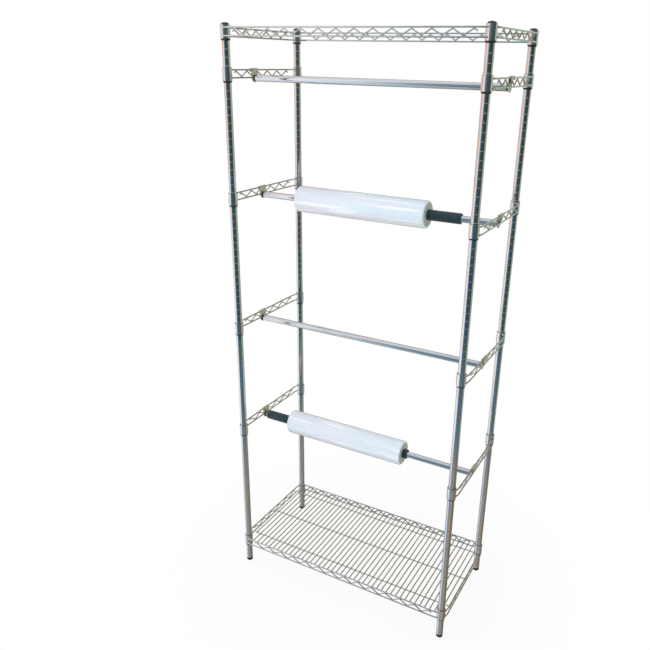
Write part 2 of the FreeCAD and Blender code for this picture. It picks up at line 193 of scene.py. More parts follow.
class ShaderSheet:
    """The node tree of one material or of the world."""

    def __init__(self, tree: bpy.types.NodeTree) -> None:
        """Start from an empty tree."""
        self.tree = tree
        tree.nodes.clear()

    def node(self, kind: str, settings: dict[str, Any] | None = None, inputs: dict[Any, Any] | None = None,
             output: int | str = 0) -> Value | None:
        """Add one node.

        Args:
            kind: Blender's name of the node's type.
            settings: Properties to set first; "stops" holds a ramp's positions and colours.
            inputs: Values or links of the node's sockets, by name or index.
            output: The output to hand back.

        Returns:
            The chosen output, or None for a node without outputs.
        """
        made = self.tree.nodes.new(kind)
        for key, value in (settings or {}).items():
            if key == "stops":
                self._set_stops(made.color_ramp, value)
            else:
                setattr(made, key, value)
        for key, value in (inputs or {}).items():
            if isinstance(value, Value):
                self.tree.links.new(value.socket, made.inputs[key])
            else:
                made.inputs[key].default_value = value
        return Value(self, made.outputs[output]) if made.outputs else None

    @staticmethod
    def _set_stops(ramp: bpy.types.ColorRamp, stops: Stops) -> None:
        """Write a ramp's stops.

        Args:
            ramp: The ramp to write to.
            stops: Position and colour of each stop.
        """
        while len(ramp.elements) < len(stops):
            ramp.elements.new(1.0)
        for element, (position, colour) in zip(ramp.elements, stops):
            element.position = position
            element.color = (*colour, 1.0)

    def place(self, stretch: Triple = (1.0, 1.0, 1.0)) -> Value:
        """The point on the piece in metres, stretched along each axis."""
        here = self.node("ShaderNodeTexCoord", output="Object")
        return self.node("ShaderNodeVectorMath", {"operation": "MULTIPLY"}, {0: here, 1: stretch})

    def length(self, vector: Value) -> Value:
        """The length of a vector."""
        return self.node("ShaderNodeVectorMath", {"operation": "LENGTH"}, {0: vector}, "Value")

    def noise(self, where: Value, scale: float, detail: float) -> Value:
        """Soft noise from 0 to 1."""
        return self.node("ShaderNodeTexNoise", None, {"Vector": where, "Scale": scale, "Detail": detail})

    def between(self, low: float, high: float, value: Value) -> Value:
        """A smooth step from 0 to 1 as a value goes from low to high."""
        return self.node("ShaderNodeMapRange", {"interpolation_type": "SMOOTHSTEP"},
                         {"Value": value, "From Min": low, "From Max": high})

    def blend(self, factor: Operand, first: Value | Colour, second: Value | Colour) -> Value:
        """Mix two colours."""
        values = [factor, *((*c, 1.0) if isinstance(c, tuple) else c for c in (first, second))]
        return self.node("ShaderNodeMix", {"data_type": "RGBA"}, dict(zip(MIX_INPUTS, values)), MIX_RESULT)

    def bump(self, height: Value, strength: float, distance: float) -> Value:
        """A normal bent by a height."""
        sockets = {"Height": height, "Strength": strength, "Distance": distance}
        return self.node("ShaderNodeBump", None, sockets)

    def ray(self, kind: str) -> Value:
        """1 for a ray of the named kind and 0 for any other."""
        return self.node("ShaderNodeLightPath", output=f"Is {kind} Ray")


@dataclass(frozen=True)
class Mottle:
    """A noise pattern over a piece: its scale, detail and stretch, and which range of it counts."""

    scale: float
    detail: float = 2.0
    stretch: Triple = (1.0, 1.0, 1.0)
    limits: Band | None = None

    def lay(self, sheet: ShaderSheet) -> Value:
        """The pattern's value, from 0 to 1."""
        value = sheet.noise(sheet.place(self.stretch), self.scale, self.detail)
        return sheet.between(*self.limits, value) if self.limits else value


@dataclass(frozen=True)
class Finish:
    """A surface finish and the material made from it."""

    name: str
    colour: Colour
    shade: Colour
    roughness: float

    def inputs(self, sheet: ShaderSheet) -> dict[str, Any]:
        """The shader's socket values and links."""
        raise NotImplementedError

    def make(self) -> bpy.types.Material:
        """Build the material.

        Returns:
            The material, ready for a mesh.
        """
        material = bpy.data.materials.new(self.name)
        material.use_nodes = True
        sheet = ShaderSheet(material.node_tree)
        shader = sheet.node("ShaderNodeBsdfPrincipled", None, self.inputs(sheet))
        sheet.node("ShaderNodeOutputMaterial", None, {"Surface": shader})
        return material


@dataclass(frozen=True)
class Plating(Finish):
    """Bright chrome plate with fine lines from drawing or polishing, and faint smudges."""

    stretch: Triple = (1.0, 1.0, 1.0)
    haze: Mottle = Mottle(14.0, 4.0, limits=(0.45, 0.75))
    haze_tint: float = 0.5
    haze_matt: float = 0.07
    pits: Mottle = Mottle(420.0, 1.0, limits=(0.70, 0.78))
    pit_tint: float = 0.3
    pit_matt: float = 0.12
    line_scale: float = 900.0
    line_matt: float = 0.05
    line_bump: Band = (0.05, 0.0002)

    def inputs(self, sheet: ShaderSheet) -> dict[str, Any]:
        """The shader's socket values and links.

        Args:
            sheet: The material's node tree.

        Returns:
            Values and links by socket name.
        """
        haze, pits = self.haze.lay(sheet), self.pits.lay(sheet)
        lines = Mottle(self.line_scale, stretch=self.stretch).lay(sheet)
        dull = haze * self.haze_tint + pits * self.pit_tint
        matt = self.roughness + haze * self.haze_matt + lines * self.line_matt + pits * self.pit_matt
        return {
            "Base Color": sheet.blend(dull, self.colour, self.shade),
            "Metallic": 1.0,
            "Roughness": matt,
            "Normal": sheet.bump(lines, *self.line_bump),
        }


@dataclass(frozen=True)
class Zinc(Finish):
    """Zinc-plated sheet with a pale passivated bloom and fine scratches."""

    metal: float = 0.75
    bloom: Mottle = Mottle(70.0, 4.0, limits=(0.35, 0.68))
    bloom_matt: float = 0.12
    scratch: Mottle = Mottle(1600.0, stretch=(1.0, 1.0, 0.06))
    scratch_matt: float = 0.08
    scratch_bump: Band = (0.12, 0.0002)

    def inputs(self, sheet: ShaderSheet) -> dict[str, Any]:
        """The shader's socket values and links.

        Args:
            sheet: The material's node tree.

        Returns:
            Values and links by socket name.
        """
        bloom, scratch = self.bloom.lay(sheet), self.scratch.lay(sheet)
        return {
            "Base Color": sheet.blend(bloom, self.colour, self.shade),
            "Metallic": self.metal,
            "Roughness": self.roughness + bloom * self.bloom_matt + scratch * self.scratch_matt,
            "Normal": sheet.bump(scratch, *self.scratch_bump),
        }


@dataclass(frozen=True)
class Moulded(Finish):
    """Moulded or extruded plastic with a fine grain and paler rubbed patches."""

    grain: Mottle = Mottle(1500.0, 3.0)
    grain_tint: float = 0.3
    grain_matt: float = 0.14
    grain_bump: Band = (0.2, 0.0003)
    rubbed: Mottle = Mottle(45.0, 4.0, limits=(0.5, 0.72))
    rubbed_tint: float = 0.7
    rubbed_gloss: float = 0.08
    coat: float = 0.0
    coat_roughness: float = 0.18
    # Tint of the plastic's reflections; white leaves them plain, and any other colour paints a coloured
    # reflection.
    sheen: Colour = (1.0, 1.0, 1.0)

    def inputs(self, sheet: ShaderSheet) -> dict[str, Any]:
        """The shader's socket values and links.

        Args:
            sheet: The material's node tree.

        Returns:
            Values and links by socket name.
        """
        grain, rubbed = self.grain.lay(sheet), self.rubbed.lay(sheet)
        worn = rubbed * self.rubbed_tint + grain * self.grain_tint
        return {
            "Base Color": sheet.blend(worn, self.colour, self.shade),
            "Roughness": self.roughness + grain * self.grain_matt - rubbed * self.rubbed_gloss,
            "Coat Weight": self.coat,
            "Coat Roughness": self.coat_roughness,
            "Specular Tint": (*self.sheen, 1.0),
            "Normal": sheet.bump(grain, *self.grain_bump),
        }


@dataclass(frozen=True)
class WoundFilm(Finish):
    """The outer layers of a wound film: pale, glossy and a little creased, with pale streaks along its
    length that are partly the film's own stretch bands and partly painted highlights, and patches of
    painted blue sky sheen.
    """

    # Painted sheen: the sky colour is a blue reflection painted into the film, in patches where the clear
    # pattern is low.
    sky: Colour = (0.67, 0.83, 0.925)
    clear: Mottle = Mottle(26.0, 3.0, (0.12, 1.0, 1.0), (0.36, 0.64))
    tint_share: float = 0.75
    tint_matt: float = 0.10
    # The pale streaks are partly the film's own stretch bands and partly painted highlights of a bright
    # window, laid all round the roll.
    streaks: Mottle = Mottle(70.0, 3.0, (0.05, 1.0, 1.0), (0.53, 0.66))
    streak_tint: float = 0.85
    folds: Mottle = Mottle(42.0, 3.0, (0.6, 1.6, 0.9))
    fold_line: float = 0.5
    fold_height: float = 0.6
    crease_width: Band = (0.0, 0.03)
    crease_tint: float = 0.25
    crease_height: float = 0.4
    crease_bump: Band = (0.3, 0.0012)
    coat: float = 0.5
    coat_roughness: float = 0.10

    def inputs(self, sheet: ShaderSheet) -> dict[str, Any]:
        """The shader's socket values and links.

        Args:
            sheet: The material's node tree.

        Returns:
            Values and links by socket name.
        """
        streaks, folds = self.streaks.lay(sheet), self.folds.lay(sheet)
        sky_sheen_mask = 1.0 - self.clear.lay(sheet)
        off_line = sheet.node("ShaderNodeMath", {"operation": "ABSOLUTE"}, {0: folds - self.fold_line})
        crease = 1.0 - sheet.between(*self.crease_width, off_line)
        # Partly painted highlight: the streaks pale the film towards white; the pale creases are the film's
        # own.
        pale = streaks * self.streak_tint + crease * self.crease_tint
        # Painted sheen: blend the painted sky blue into the film's colour by its mask.
        base = sheet.blend(sky_sheen_mask * self.tint_share, self.shade, self.sky)
        relief = folds * self.fold_height + crease * self.crease_height
        return {
            "Base Color": sheet.blend(pale, base, self.colour),
            "Roughness": self.roughness + sky_sheen_mask * self.tint_matt,
            "Coat Weight": self.coat,
            "Coat Roughness": self.coat_roughness,
            "Normal": sheet.bump(relief, *self.crease_bump),
        }


@dataclass(frozen=True)
class FilmEdges(Finish):
    """The stacked edges of a wound film, ring on ring round the roll's own axis."""

    axis_y: float = 0.0
    axis_z: float = 0.0
    ring_scale: float = 900.0
    ring_detail: float = 3.0
    ring_tint: float = 0.7
    ring_matt: float = 0.15
    ring_bump: Band = (0.35, 0.0008)
    blotch: Mottle = Mottle(60.0, 3.0)
    blotch_tint: float = 0.3

    def inputs(self, sheet: ShaderSheet) -> dict[str, Any]:
        """The shader's socket values and links.

        Args:
            sheet: The material's node tree.

        Returns:
            Values and links by socket name.
        """
        here = sheet.node("ShaderNodeTexCoord", output="Object")
        flat = sheet.node("ShaderNodeVectorMath", {"operation": "MULTIPLY_ADD"},
                          {0: here, 1: (0.0, 1.0, 1.0), 2: (0.0, -self.axis_y, -self.axis_z)})
        rings = sheet.node("ShaderNodeTexNoise", {"noise_dimensions": "1D"},
                           {"W": sheet.length(flat), "Scale": self.ring_scale, "Detail": self.ring_detail})
        pale = rings * self.ring_tint + self.blotch.lay(sheet) * self.blotch_tint
        return {
            "Base Color": sheet.blend(pale, self.colour, self.shade),
            "Roughness": self.roughness + rings * self.ring_matt,
            "Normal": sheet.bump(rings, *self.ring_bump),
        }


class Slot(Enum):
    """The record's material slots."""

    POST = "post_chrome"
    WIRE = "wire_chrome"
    ROD = "rod_chrome"
    BRACKET = "bracket_zinc"
    INSERT = "insert_steel"
    CAP = "cap_plastic"
    SLEEVE = "sleeve_plastic"
    STUB = "stub_plastic"
    FOOT = "foot_plastic"
    CORE = "core_plastic"
    FILM = "film"


FINISHES: dict[Slot, Finish] = {
    Slot.POST: Plating("post plate", (0.82, 0.84, 0.85), (0.70, 0.70, 0.68), 0.05, (1.0, 1.0, 0.05)),
    Slot.WIRE: Plating("wire plate", (0.76, 0.77, 0.75), (0.62, 0.61, 0.56), 0.09, (0.2, 0.2, 0.2)),
    Slot.ROD: Plating("rod plate", (0.86, 0.87, 0.88), (0.74, 0.74, 0.74), 0.05, (0.05, 1.0, 1.0)),
    Slot.BRACKET: Zinc("bracket zinc", (0.60, 0.61, 0.47), (0.70, 0.70, 0.58), 0.34),
    Slot.INSERT: Zinc("insert steel", (0.50, 0.50, 0.49), (0.60, 0.60, 0.58), 0.38),
    Slot.CAP: Moulded("cap plastic", (0.030, 0.033, 0.036), (0.075, 0.078, 0.080), 0.36),
    Slot.SLEEVE: Moulded("sleeve plastic", (0.012, 0.012, 0.014), (0.035, 0.036, 0.038), 0.42),
    Slot.STUB: Moulded("stub plastic", (0.012, 0.012, 0.014), (0.032, 0.033, 0.035), 0.40),
    Slot.FOOT: Moulded("foot rubber", (0.010, 0.010, 0.011), (0.040, 0.039, 0.037), 0.55),
    # Core: the blue-teal colours are partly the plastic's own dark tone and partly a painted blue
    # reflection; the blue sheen tint is a painted reflection.
    Slot.CORE: Moulded("core plastic", (0.016, 0.030, 0.034), (0.034, 0.056, 0.066), 0.28,
                       grain=Mottle(700.0, 3.0, (0.04, 1.0, 1.0)), coat=0.2, sheen=(0.45, 0.80, 1.0)),
    Slot.FILM: WoundFilm("wound film", (0.93, 0.95, 0.97), (0.745, 0.765, 0.87), 0.20),
}
COLLAR_PLATE = Plating("collar plate", (0.90, 0.91, 0.92), (0.78, 0.78, 0.77), 0.18, (1.0, 1.0, 0.05))


class Paintbox:
    """Materials made once for each finish."""

    def __init__(self) -> None:
        """Start with no materials."""
        self._made: dict[str, bpy.types.Material] = {}

    def get(self, finish: Finish) -> bpy.types.Material:
        """Look a material up, and make it the first time.

        Args:
            finish: The finish that is wanted.

        Returns:
            The finish's material.
        """
        if finish.name not in self._made:
            self._made[finish.name] = finish.make()
        return self._made[finish.name]


PAINT = Paintbox()


def spaced(first: float, last: float, steps: int) -> list[float]:
    """Evenly spaced numbers from first to last."""
    return [first + (last - first) * i / steps for i in range(steps + 1)]


def on_circle(centre: Vector, across: tuple[Vector, Vector], radius: float, angle: float) -> Vector:
    """The point of a circle at an angle."""
    return centre + (across[0] * math.cos(angle) + across[1] * math.sin(angle)) * radius


def circle(centre: Vector, across: tuple[Vector, Vector], radius: float, sides: int) -> list[Vector]:
    """Points all round a circle."""
    return [on_circle(centre, across, radius, angle) for angle in spaced(0.0, math.tau, sides)[:-1]]


def softened(radius: float, low: float, high: float, edge: float) -> list[tuple[float, float]]:
    """The profile of a round face whose two edges are bevelled."""
    return [(radius - edge, low), (radius, low + edge), (radius, high - edge), (radius - edge, high)]


def middle(node: str) -> Vector:
    """The centre of a node's box."""
    low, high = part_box(node)
    return (low + high) / 2


def post_axis(corner: Corner) -> Vector:
    """The point of a post's axis at floor level."""
    centre = middle(f"post_{corner.label}")
    return Vector((centre.x, centre.y, 0.0))


def rounded(points: Sequence[Vector], radius: float, steps: int) -> list[Vector]:
    """Round the inner corners of a path.

    Args:
        points: Corners of the path.
        radius: Radius of each bend.
        steps: Straight pieces in each bend.

    Returns:
        Points of the rounded path.
    """
    path = [points[0]]
    for before, corner, after in zip(points, points[1:], points[2:]):
        back, ahead = (before - corner).normalized(), (after - corner).normalized()
        half = back.angle(ahead) / 2
        centre = corner + (back + ahead).normalized() * (radius / math.sin(half))
        reach = radius / math.tan(half)
        first = (corner + back * reach - centre).normalized()
        last = (corner + ahead * reach - centre).normalized()
        path.extend(centre + first.slerp(last, i / steps) * radius for i in range(steps + 1))
    path.append(points[-1])
    return path


@dataclass
class Shape:
    """Points and faces of one piece, gathered from swept rings."""

    points: list[Vector] = field(default_factory=list)
    faces: list[tuple[int, ...]] = field(default_factory=list)
    finishes: list[int] = field(default_factory=list)

    def skin(self, rings: Sequence[Sequence[Vector]], loop: bool = False, finish: int = 0,
             ends: tuple[bool, bool] = (True, True)) -> None:
        """Join rings of equal counts by quads.

        Args:
            rings: Closed rings of points, one after the other.
            loop: Whether the last ring joins the first.
            finish: Index of the faces' finish.
            ends: Whether the first and the last ring are closed by a face.
        """
        base, count = len(self.points), len(rings[0])
        for ring in rings:
            self.points.extend(ring)
        for i in range(len(rings) if loop else len(rings) - 1):
            near, far = base + i * count, base + (i + 1) % len(rings) * count
            for j in range(count):
                k = (j + 1) % count
                self.faces.append((near + j, near + k, far + k, far + j))
        if not loop:
            last = base + (len(rings) - 1) * count
            if ends[0]:
                self.faces.append(tuple(range(base + count - 1, base - 1, -1)))
            if ends[1]:
                self.faces.append(tuple(range(last, last + count)))
        self.finishes.extend([finish] * (len(self.faces) - len(self.finishes)))

    def turned(self, profile: Profile, start: Vector, axis: Axis, sides: int = 40, hollow: bool = False,
               finish: int = 0) -> None:
        """Turn a profile of radii and heights about an axis.

        Args:
            profile: Radius and height of each point; closed on itself for a hollow piece.
            start: The point on the axis from which heights count.
            axis: The direction of the axis.
            sides: Flat sides round the axis.
            hollow: Whether the profile closes on itself.
            finish: Index of the faces' finish.
        """
        across = axis.across
        rings = [circle(start + axis.along * height, across, radius, sides) for radius, height in profile]
        self.skin(rings, loop=hollow, finish=finish)

    def part_turned(self, profile: Profile, start: Vector, axis: Axis, angles: Band,
                    sides: int = 20) -> None:
        """Turn a closed profile through part of a turn and close both ends.

        Args:
            profile: Radius and height of each point of the closed profile.
            start: The point on the axis from which heights count.
            axis: The direction of the axis.
            angles: First and last angle in radians.
            sides: Flat sides between the two angles.
        """
        across = axis.across
        rings = []
        for angle in spaced(*angles, sides):
            rings.append([on_circle(start + axis.along * height, across, radius, angle)
                          for radius, height in profile])
        self.skin(rings)

    def wire(self, path: Sequence[Vector], radius: float, upright: Vector, sides: int = 12) -> None:
        """Lay a round wire along a path in a plane.

        Args:
            path: Points of the wire's line.
            radius: The wire's radius.
            upright: Normal of the plane that the path lies in.
            sides: Flat sides round the wire.
        """
        rings = []
        for i, point in enumerate(path):
            ahead = (path[min(i + 1, len(path) - 1)] - path[max(i - 1, 0)]).normalized()
            aside = upright.cross(ahead).normalized()
            rings.append(circle(point, (aside, upright), radius, sides))
        self.skin(rings)

    def build(self, name: str, finishes: Sequence[Finish]) -> bpy.types.Object:
        """Make the object.

        Args:
            name: The piece's name.
            finishes: Finishes in the order of the faces' indices.

        Returns:
            The object, linked to the scene.
        """
        mesh = bpy.data.meshes.new(name)
        mesh.from_pydata(self.points, [], self.faces)
        mesh.polygons.foreach_set("material_index", self.finishes)
        edit = bmesh.new()
        edit.from_mesh(mesh)
        bmesh.ops.remove_doubles(edit, verts=edit.verts, dist=WELD_REACH)
        bmesh.ops.recalc_face_normals(edit, faces=edit.faces)
        edit.to_mesh(mesh)
        edit.free()
        mesh.shade_smooth()
        mesh.set_sharp_from_angle(angle=SHARP_EDGE)
        for finish in finishes:
            mesh.materials.append(PAINT.get(finish))
        piece = bpy.data.objects.new(name, mesh)
        bpy.context.scene.collection.objects.link(piece)
        piece.modifiers.new("even shading", "WEIGHTED_NORMAL").keep_sharp = True
        return piece

    def stand_for(self, node: str, finishes: Sequence[Finish] = ()) -> None:
        """Make the object that stands for a node of the frame and rides on the node's body.

        Args:
            node: The frame's node.
            finishes: Finishes in the order of the faces' indices; the slot's own one if left out.
        """
        slot = SLOT_OF[node]
        piece = self.build(f"{node}_piece", finishes or [FINISHES[Slot(slot)]])
        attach(piece, BODY_OF[node])
        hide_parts(node)
        LOG.info("%s: %d points on %s", piece.name, len(self.points), BODY_OF[node])


@dataclass
class Posts:
    """Round posts with a shallow groove at each inch, their caps and their levelling feet."""

    sides: int = 48
    wall: float = 0.0015
    groove_pitch: float = 0.0254
    groove_depth: float = 0.00048
    groove_half_width: float = 0.0011
    groove_form: Profile = ((-1.0, 0.0), (-0.5, 0.85), (0.0, 1.0), (0.5, 0.85), (1.0, 0.0))
    edge: float = 0.0006
    cap_rim: float = 0.002
    cap_stem: float = 0.014
    cap_steps: int = 12
    foot_bevel: float = 0.002
    foot_steps: int = 5
    stud_radius: float = 0.004
    stud_sides: int = 20
    thread_pitch: float = 0.00125
    thread_depth: float = 0.0006

    def build(self) -> None:
        """Make every piece of the four posts."""
        for corner in Corner:
            self._post(corner)
            self._foot(corner)
        self._caps()
        inserts = frame["nodes"]["foot_inserts"]
        inserts.data.materials.clear()
        inserts.data.materials.append(PAINT.get(FINISHES[Slot.INSERT]))
        LOG.info("%s: the frame's own piece", inserts.name)

    def _post(self, corner: Corner) -> None:
        """A grooved tube.

        Args:
            corner: The post's corner.
        """
        low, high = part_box(f"post_{corner.label}")
        radius = (high.x - low.x) / 2
        level = middle("bottom_shelf_collars").z
        face = softened(radius, low.z, high.z, self.edge)
        grooves = []
        z = level - math.floor((level - low.z - self.edge) / self.groove_pitch) * self.groove_pitch
        while z < high.z - self.groove_half_width - self.edge:
            for share, depth in self.groove_form:
                grooves.append((radius - depth * self.groove_depth, z + share * self.groove_half_width))
            z += self.groove_pitch
        inside = [(radius - self.wall, high.z), (radius - self.wall, low.z)]
        shape = Shape()
        profile = [*face[:2], *grooves, *face[2:], *inside]
        shape.turned(profile, post_axis(corner), Axis.Z, self.sides, hollow=True)
        shape.stand_for(f"post_{corner.label}")

    def _caps(self) -> None:
        """Domed plugs in the tops of the posts."""
        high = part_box("post_caps")[1]
        low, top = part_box("post_front_left")
        radius = (top.x - low.x) / 2
        rise = high.z - top.z - self.cap_rim
        dome = [(radius * math.cos(a), top.z + self.cap_rim + rise * math.sin(a))
                for a in spaced(0.0, QUARTER, self.cap_steps)]
        stem = radius - self.wall - self.edge / 2
        profile = [(stem, top.z - self.cap_stem), (stem, top.z), (radius - self.edge / 2, top.z),
                   (radius, top.z + self.edge / 2), *dome[:-1], (TIP_RADIUS, dome[-1][1])]
        shape = Shape()
        for corner in Corner:
            shape.turned(profile, post_axis(corner), Axis.Z)
        shape.stand_for("post_caps")

    def _foot(self, corner: Corner) -> None:
        """A foot pad with its threaded stud.

        Args:
            corner: The foot's corner.
        """
        node = f"foot_{corner.label}"
        low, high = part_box(node)
        radius, bevel, stud = (high.x - low.x) / 2, self.foot_bevel, self.stud_radius
        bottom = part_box(f"post_{corner.label}")[0].z - self.edge / 2
        pad = [(TIP_RADIUS, low.z), (radius - bevel, low.z)]
        pad += [(radius - bevel * (1 - math.sin(a)), low.z + bevel * (1 - math.cos(a)))
                for a in spaced(0.0, QUARTER, self.foot_steps)[1:]]
        pad += [*softened(radius, low.z, bottom, self.edge)[2:], (stud, bottom)]
        thread = [(stud, bottom)]
        z = bottom + self.thread_pitch
        while z < high.z - self.thread_pitch:
            thread += [(stud, z), (stud - self.thread_depth, z + self.thread_pitch / 2)]
            z += self.thread_pitch
        thread.append((stud - self.thread_depth, high.z))
        shape = Shape()
        shape.turned(pad, post_axis(corner), Axis.Z)
        shape.turned(thread, post_axis(corner), Axis.Z, self.stud_sides, finish=1)
        shape.stand_for(node, [FINISHES[Slot.FOOT], FINISHES[Slot.INSERT]])


@dataclass
class Sleeves:
    """Black tapered sleeves of two halves, one sleeve in each collar."""

    bore: float = 0.01278
    low_radius: float = 0.0146
    high_radius: float = 0.0141
    slit: float = 0.0009
    edge: float = 0.0004

    def build(self) -> None:
        """Make the sleeves of every level."""
        gap = self.slit / self.low_radius / 2
        for level in Level:
            node = f"sleeves_{level.label}"
            low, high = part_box(node)
            foot = softened(self.low_radius, low.z, high.z, self.edge)[:2]
            head = softened(self.high_radius, low.z, high.z, self.edge)[2:]
            profile = [(self.bore, low.z), *foot, *head, (self.bore, high.z)]
            shape = Shape()
            for corner in Corner:
                for half in (0.0, math.pi):
                    angles = (half + gap, half + math.pi - gap)
                    shape.part_turned(profile, post_axis(corner), Axis.Z, angles)
            shape.stand_for(node)


@dataclass
class WireWork:
    """Sizes and methods that the shelves and the side rails share."""

    frame_radius: float = 0.0026
    zigzag_radius: float = 0.0022
    zigzag_sides: int = 10
    zigzag_step: float = 0.03015
    zigzag_bend: float = 0.0045
    zigzag_bend_steps: int = 6
    zigzag_tail: float = 0.34
    weld: float = 0.0004
    end_gap: float = 0.004
    end_bend: float = 0.016
    end_bend_steps: int = 4
    end_tuck: float = 0.0032
    cut_size: float = 0.8
    cut_inset: float = 0.25
    cut_sides: int = 12
    collar_radius: float = 0.016
    collar_height: float = 0.042
    collar_sides: int = 48
    bore_low: float = 0.0148
    bore_high: float = 0.0143
    edge: float = 0.0007
    edge_steps: int = 2

    def collar(self, shape: Shape, corner: Corner, level: float, finish: int = 0) -> None:
        """A round collar with a tapered bore and softened edges.

        Args:
            shape: Where the collar goes.
            corner: The post that it is on.
            level: The height of its middle.
            finish: Index of the faces' finish.
        """
        half, radius, edge = self.collar_height / 2, self.collar_radius, self.edge
        rim = [(edge * (1 - math.cos(a)), edge * (1 - math.sin(a)))
               for a in spaced(0.0, QUARTER, self.edge_steps)]
        profile = [(radius - r, level - half + h) for r, h in reversed(rim)]
        profile += [(radius - r, level + half - h) for r, h in rim]
        profile += [(self.bore_high, level + half), (self.bore_low, level - half)]
        shape.turned(profile, post_axis(corner), Axis.Z, self.collar_sides, hollow=True, finish=finish)

    def truss(self, shape: Shape, box: tuple[Vector, Vector], side: Side, runs: int, shift: float) -> None:
        """Two long wires with a zigzag welded between them.

        Args:
            shape: Where the wires go.
            box: Lowest and highest corner of the two long wires.
            side: The side that the truss is on.
            runs: Straight runs of the zigzag, between its first and its last upper bend.
            shift: Offset of the zigzag along a front or left truss; a rear or right one goes the other way.
        """
        low, high = box
        centre = (low + high) / 2
        along, up, inward = side.axis.along, Axis.Z.along, side.inward
        half = (high - low).dot(along) / 2 - self.end_gap
        rise = (high.z - low.z) / 2 - self.frame_radius
        for sign in (-1, 1):
            line = centre + up * (sign * rise)
            path = [line - along * half + inward * self.end_tuck, line - along * (half - self.end_bend),
                    line + along * (half - self.end_bend), line + along * half + inward * self.end_tuck]
            shape.wire(rounded(path, self.end_bend, self.end_bend_steps), self.frame_radius, up)
        reach = rise - self.frame_radius - self.zigzag_radius + self.weld
        peak = reach + self._bend_loss(reach)
        begin = centre + along * (-side.sign * shift - runs * self.zigzag_step / 2)
        bends = [begin + along * (self.zigzag_step * i) + up * (-peak if i % 2 else peak)
                 for i in range(-1, runs + 2)]
        bends[0] = bends[1].lerp(bends[0], self.zigzag_tail)
        bends[-1] = bends[-2].lerp(bends[-1], self.zigzag_tail)
        zigzag = rounded(bends, self.zigzag_bend, self.zigzag_bend_steps)
        shape.wire(zigzag, self.zigzag_radius, inward, self.zigzag_sides)

    def _bend_loss(self, reach: float) -> float:
        """How far a rounded bend falls short of its corner."""
        slope = math.atan2(2 * reach, self.zigzag_step)
        return self.zigzag_bend * (1 / math.cos(slope) - 1)

    def straight(self, shape: Shape, start: Vector, end: Vector, radius: float) -> None:
        """A straight level wire with softened ends.

        Args:
            shape: Where the wire goes.
            start: The wire's first end.
            end: The wire's last end.
            radius: The wire's radius.
        """
        ahead, up = (end - start).normalized(), Axis.Z.along
        inset = ahead * (radius * self.cut_inset)
        stations = ((start, self.cut_size), (start + inset, 1.0), (end - inset, 1.0), (end, self.cut_size))
        across = (up, up.cross(ahead))
        shape.skin([circle(point, across, radius * size, self.cut_sides) for point, size in stations])


@dataclass
class OpenFrame(WireWork):
    """Four collars joined by a truss on each side."""

    name: str = "top_frame"
    long_runs: int = 26
    long_shift: float = 0.006
    side_runs: int = 10
    side_shift: float = 0.011

    def build(self) -> None:
        """Make the collars and the trusses."""
        shape = Shape()
        for corner in Corner:
            self.collar(shape, corner, middle(f"{self.name}_collars").z)
        shape.stand_for(f"{self.name}_collars", [COLLAR_PLATE])
        for side in Side:
            node = f"{self.name}_{side.label}_truss"
            low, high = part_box(node)
            shape = Shape()
            if side.axis is Axis.X:
                inset = side.inward * (self.frame_radius - (high.y - low.y) / 2)
                self.truss(shape, (low + inset, high + inset), side, self.long_runs, self.long_shift)
            else:
                self.truss(shape, (low, high), side, self.side_runs, self.side_shift)
            shape.stand_for(node)


@dataclass
class Shelf(OpenFrame):
    """A frame with deck wires that lie on long support wires."""

    name: str = "bottom_shelf"
    deck_radius: float = 0.0022
    deck_count: int = 42
    deck_pitch: float = 0.0201
    support_radius: float = 0.0022
    support_flat: float = math.cos(math.pi / 6)
    support_overrun: float = 0.004

    def build(self) -> None:
        """Make the frame and the deck."""
        super().build()
        self._supports(f"{self.name}_support_wires")
        self._deck(f"{self.name}_deck_wires", f"{self.name}_support_wires")

    def _supports(self, node: str) -> None:
        """The long wires under the deck, on the lines of the frame's six-sided ones.

        Args:
            node: The frame's node.
        """
        low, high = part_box(node)
        z = (low.z + high.z) / 2
        offset = (high.y - low.y) / 2 - self.support_radius * self.support_flat
        shape = Shape()
        for y in (-offset, 0.0, offset):
            self.straight(shape, Vector((low.x, y, z)), Vector((high.x, y, z)), self.support_radius)
        shape.stand_for(node)

    def _deck(self, node: str, supports: str) -> None:
        """The front-to-back wires; the outermost two end on the outer support wires.

        Args:
            node: The frame's node.
            supports: The node of the support wires.
        """
        low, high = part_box(node)
        z = (low.z + high.z) / 2
        centre = (low.x + high.x) / 2
        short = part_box(supports)[1].y + self.support_overrun
        shape = Shape()
        for i in range(-1, self.deck_count + 1):
            x = centre + (i - (self.deck_count - 1) / 2) * self.deck_pitch
            reach = high.y if 0 <= i < self.deck_count else short
            self.straight(shape, Vector((x, -reach, z)), Vector((x, reach, z)), self.deck_radius)
        shape.stand_for(node)


@dataclass
class SideRail(WireWork):
    """One level's pair of side rails: a truss with a collar at each end."""

    number: int = 1
    runs: int = 10
    shift: float = 0.011

    def build(self) -> None:
        """Make the left and the right rail."""
        for side in (Side.LEFT, Side.RIGHT):
            node = f"rail_{self.number}_{side.label}"
            level = middle(node).z
            low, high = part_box(f"bottom_shelf_{side.label}_truss")
            half = Vector((0.0, 0.0, (high.z - low.z) / 2))
            box = (Vector((low.x, low.y, level)) - half, Vector((high.x, high.y, level)) + half)
            shape = Shape()
            self.truss(shape, box, side, self.runs, self.shift)
            for corner in Corner:
                if corner.value[0] == side.sign:
                    self.collar(shape, corner, level, finish=1)
            shape.stand_for(node, [FINISHES[Slot.WIRE], COLLAR_PLATE])


